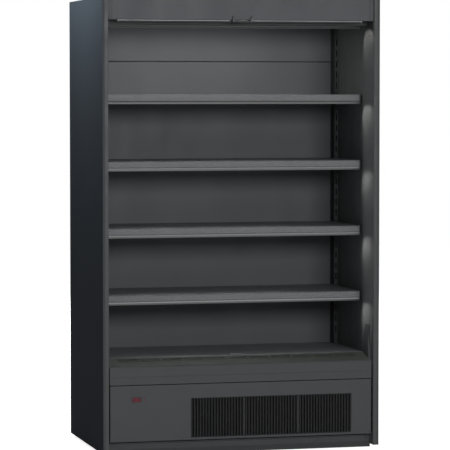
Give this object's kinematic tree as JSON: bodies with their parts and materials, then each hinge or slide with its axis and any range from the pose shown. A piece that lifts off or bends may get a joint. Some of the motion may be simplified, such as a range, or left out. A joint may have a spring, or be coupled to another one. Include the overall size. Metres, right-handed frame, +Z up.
{
  "type": "open multideck display fridge",
  "caption": "Tall open-front display fridge with hooked shelves, sloping air intake, slotted lower grille and a pull-down night blind.",
  "frame": {"origin": "on the floor, at the middle of the footprint", "axes": "+X to the right as seen from the front, +Y from the open front to the back, +Z up"},
  "size_m": [1.275, 0.75, 2.03],
  "materials": {
    "painted_steel_dark": "satin dark grey powder coat",
    "painted_steel_grey": "satin grey powder coat",
    "deck_paint": "satin grey paint",
    "black_plastic": "matt black",
    "dark_paint": "matt dark paint",
    "insulation": "smooth lining sheet over rigid foam",
    "galvanised": "zinc-coated sheet",
    "bright_aluminium": "satin anodised",
    "coil_fins": "mill-finish fins",
    "copper": "bright copper tube",
    "diffuser": "milky diffuser",
    "rail_plastic": "grey ticket rail",
    "display_lens": "smoked lens",
    "steel_zinc": "zinc-plated",
    "compressor_paint": "gloss black",
    "blind_cloth": "woven coated cloth",
    "fan_plastic": "glass-filled plastic"
  },
  "bodies": {
    "cabinet": {"base_frame": "dark_paint", "levelling_feet": "steel_zinc", "left_end_wall": "insulation", "right_end_wall": "insulation", "side_skins": "painted_steel_dark", "rear_insulated_wall": "insulation", "rear_service_cover": "galvanised", "rear_duct_panels": "painted_steel_grey", "slotted_uprights": "dark_paint", "roof_panel": "insulation", "canopy_fascia": "painted_steel_dark", "canopy_inner_panel": "painted_steel_grey", "air_outlet_grid": "black_plastic", "canopy_lamp": "diffuser", "blind_brackets": "black_plastic", "insulated_tub": "insulation", "front_bumper": "painted_steel_dark", "lower_front_panel": "painted_steel_dark", "lower_grille": "black_plastic", "kick_plate": "dark_paint", "panel_screws": "steel_zinc", "compressor": "compressor_paint", "condenser_coil": "coil_fins", "condenser_fan_shroud": "galvanised", "evaporation_tray": "galvanised", "evaporator_coil": "coil_fins", "evaporator_fan_plate": "galvanised", "evaporator_fan_motors": "black_plastic", "refrigerant_pipes": "copper", "electrical_box": "black_plastic", "controller_housing": "black_plastic", "controller_lens": "display_lens", "blind_catch": "bright_aluminium", "return_air_grille": "deck_paint", "wall_cheeks": "painted_steel_dark"},
    "night_blind": {"blind_pull_bar": "bright_aluminium", "blind_handle": "rail_plastic", "blind_sheet": "blind_cloth"},
    "roller": {"blind_roller": "blind_cloth"},
    "deck": {"base_deck": "deck_paint"},
    "left_fan": {"evaporator_fan_left": "fan_plastic"},
    "right_fan": {"evaporator_fan_right": "fan_plastic"},
    "rear_fan": {"condenser_fan": "fan_plastic"},
    "key_up": {"controller_key_up": "black_plastic"},
    "key_down": {"controller_key_down": "black_plastic"},
    "shelf_1": {"shelf_1_tray": "painted_steel_grey", "shelf_1_brackets": "painted_steel_grey", "shelf_1_price_rail": "rail_plastic", "shelf_1_lamp": "diffuser"},
    "shelf_2": {"shelf_2_tray": "painted_steel_grey", "shelf_2_brackets": "painted_steel_grey", "shelf_2_price_rail": "rail_plastic", "shelf_2_lamp": "diffuser"},
    "shelf_3": {"shelf_3_tray": "painted_steel_grey", "shelf_3_brackets": "painted_steel_grey", "shelf_3_price_rail": "rail_plastic", "shelf_3_lamp": "diffuser"},
    "shelf_4": {"shelf_4_tray": "painted_steel_grey", "shelf_4_brackets": "painted_steel_grey", "shelf_4_price_rail": "rail_plastic", "shelf_4_lamp": "diffuser"}
  },
  "joints": [
    {"name": "blind_slide", "type": "slide", "parent": "cabinet", "child": "night_blind", "axis": [0, 0.0362, -0.9993], "range_m": [0, 1.492], "stiffness_N_per_m": 20, "springref_m": -1.5, "deforming": ["blind_sheet"]},
    {"name": "blind_roller_turn", "type": "hinge", "parent": "cabinet", "child": "roller", "pos_m": [0, -0.309, 1.972], "axis": [1, 0, 0], "range_deg": [0, 3440]},
    {"name": "shelf_1_tilt", "type": "hinge", "parent": "cabinet", "child": "shelf_1", "pos_m": [0, 0.177, 0.6783], "axis": [-1, 0, 0], "range_deg": [0, 12]},
    {"name": "shelf_2_tilt", "type": "hinge", "parent": "cabinet", "child": "shelf_2", "pos_m": [0, 0.177, 0.9783], "axis": [-1, 0, 0], "range_deg": [0, 12]},
    {"name": "shelf_3_tilt", "type": "hinge", "parent": "cabinet", "child": "shelf_3", "pos_m": [0, 0.177, 1.2783], "axis": [-1, 0, 0], "range_deg": [0, 12]},
    {"name": "shelf_4_tilt", "type": "hinge", "parent": "cabinet", "child": "shelf_4", "pos_m": [0, 0.177, 1.5783], "axis": [-1, 0, 0], "range_deg": [0, 12]},
    {"name": "deck_lift", "type": "hinge", "parent": "cabinet", "child": "deck", "pos_m": [0, 0.2392, 0.425], "axis": [-1, 0, 0], "range_deg": [0, 20]},
    {"name": "left_fan_spin", "type": "hinge", "parent": "cabinet", "child": "left_fan", "pos_m": [-0.32, -0.015, 0.3685], "axis": [0, -0.4875, 0.8731], "continuous": true},
    {"name": "right_fan_spin", "type": "hinge", "parent": "cabinet", "child": "right_fan", "pos_m": [0.32, -0.015, 0.3685], "axis": [0, -0.4875, 0.8731], "continuous": true},
    {"name": "condenser_fan_spin", "type": "hinge", "parent": "cabinet", "child": "rear_fan", "pos_m": [0.1365, -0.229, 0.1935], "axis": [0, 1, 0], "continuous": true},
    {"name": "key_up_press", "type": "slide", "parent": "cabinet", "child": "key_up", "axis": [0, 1, 0], "range_m": [0, 0.001], "stiffness_N_per_m": 300, "springref_m": -0.0005},
    {"name": "key_down_press", "type": "slide", "parent": "cabinet", "child": "key_down", "axis": [0, 1, 0], "range_m": [0, 0.001], "stiffness_N_per_m": 300, "springref_m": -0.0005}
  ],
  "couplings": [
    {"joint": "blind_roller_turn", "follows": "blind_slide", "rad_per_m": 40}
  ]
}
